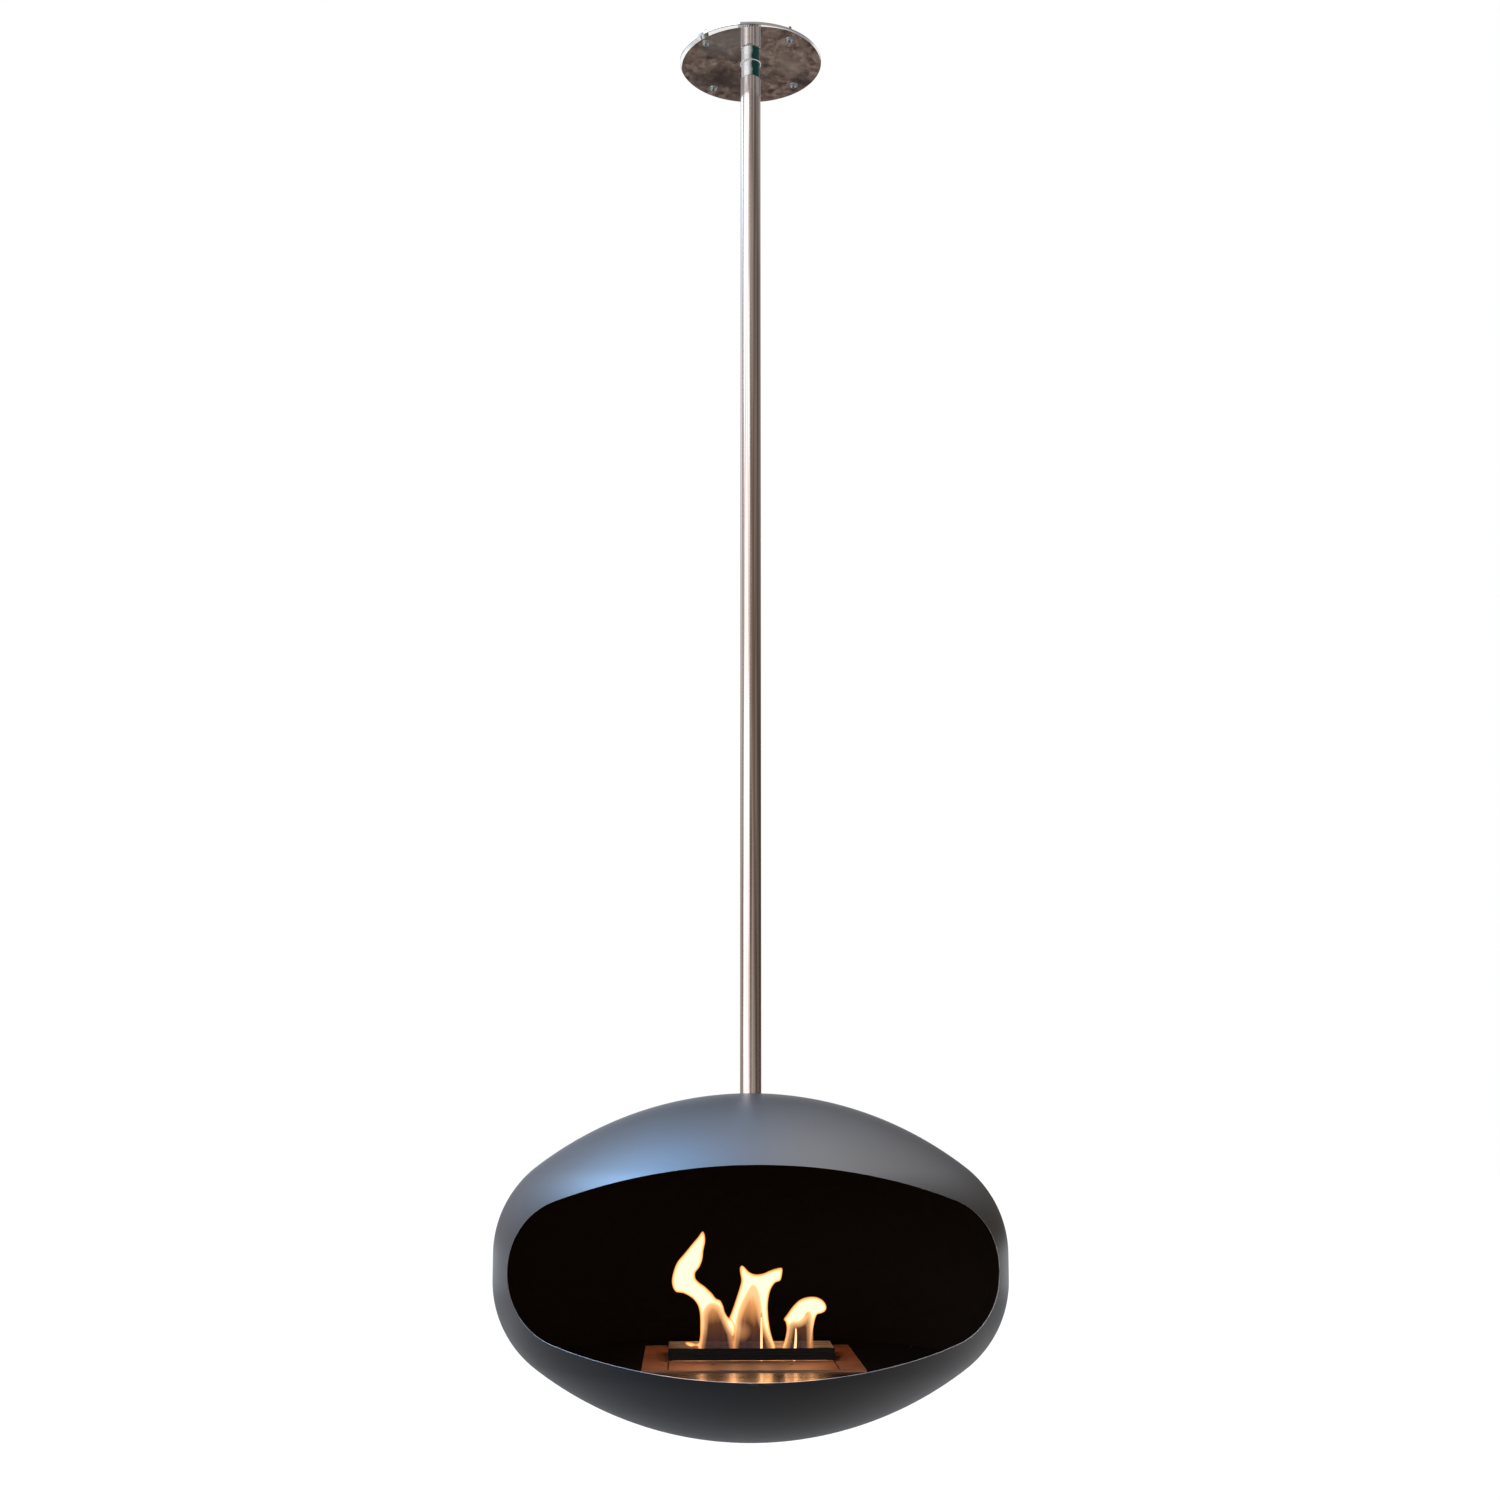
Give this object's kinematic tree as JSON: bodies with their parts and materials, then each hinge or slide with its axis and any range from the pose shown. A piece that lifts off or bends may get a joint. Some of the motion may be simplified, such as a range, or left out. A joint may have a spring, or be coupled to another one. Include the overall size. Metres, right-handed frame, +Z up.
{
  "type": "hanging fireplace",
  "caption": "Spun steel hearth with an oval mouth, hung on a swivelling pole from a ceiling plate, with an ethanol burner and a sliding flame lid.",
  "frame": {"origin": "centre of the ceiling plate's upper face, where it meets the ceiling", "axes": "+Z up along the pole; the mouth faces -Y; +X to the right of someone who looks into the mouth"},
  "size_m": [0.9, 0.847, 2.581],
  "materials": {
    "polished_steel": "mirror polished stainless steel",
    "bronze": "machined bearing bronze",
    "bright_screws": "polished stainless steel",
    "fixing_steel": "zinc plated steel",
    "slip_plastic": "plain low-friction plastic",
    "brushed_stainless": "stainless steel brushed along its length",
    "shell_paint": "satin anthracite heat-proof paint",
    "hearth_black": "semi-gloss black heat-proof paint",
    "dark_screws": "blackened steel",
    "burner_stainless": "fine brushed stainless steel",
    "ceramic_fibre": "matt ceramic fibre"
  },
  "bodies": {
    "ceiling_mount": {"ceiling_plate": "polished_steel", "swivel_neck": "polished_steel", "swivel_bush": "bronze", "ceiling_screws": "bright_screws"},
    "hanging_fire": {"swivel_bolt": "fixing_steel", "thrust_washer": "fixing_steel", "swivel_nut": "fixing_steel", "slip_ring": "slip_plastic", "pole_head": "brushed_stainless", "pole_tube": "brushed_stainless", "pole_foot": "fixing_steel", "upper_shell": "shell_paint", "lower_shell": "shell_paint", "crown_plate": "hearth_black", "hanger_socket": "hearth_black", "cross_bolt": "fixing_steel", "cross_washers": "fixing_steel", "cross_nut": "fixing_steel", "front_sill": "hearth_black", "floor_plate": "hearth_black", "floor_brackets": "hearth_black", "floor_screws": "dark_screws", "burner_tray": "burner_stainless", "flame_guard": "burner_stainless", "lid_guide": "burner_stainless", "fuel_tank": "burner_stainless", "fibre_block": "ceramic_fibre"},
    "lid": {"slide_lid": "burner_stainless"}
  },
  "joints": [
    {"name": "swivel", "type": "hinge", "parent": "ceiling_mount", "child": "hanging_fire", "pos_m": [0, 0, 0], "axis": [0, 0, 1], "continuous": true},
    {"name": "lid_slide", "type": "slide", "parent": "hanging_fire", "child": "lid", "axis": [0, 1, 0], "range_m": [0, 0.106]}
  ]
}
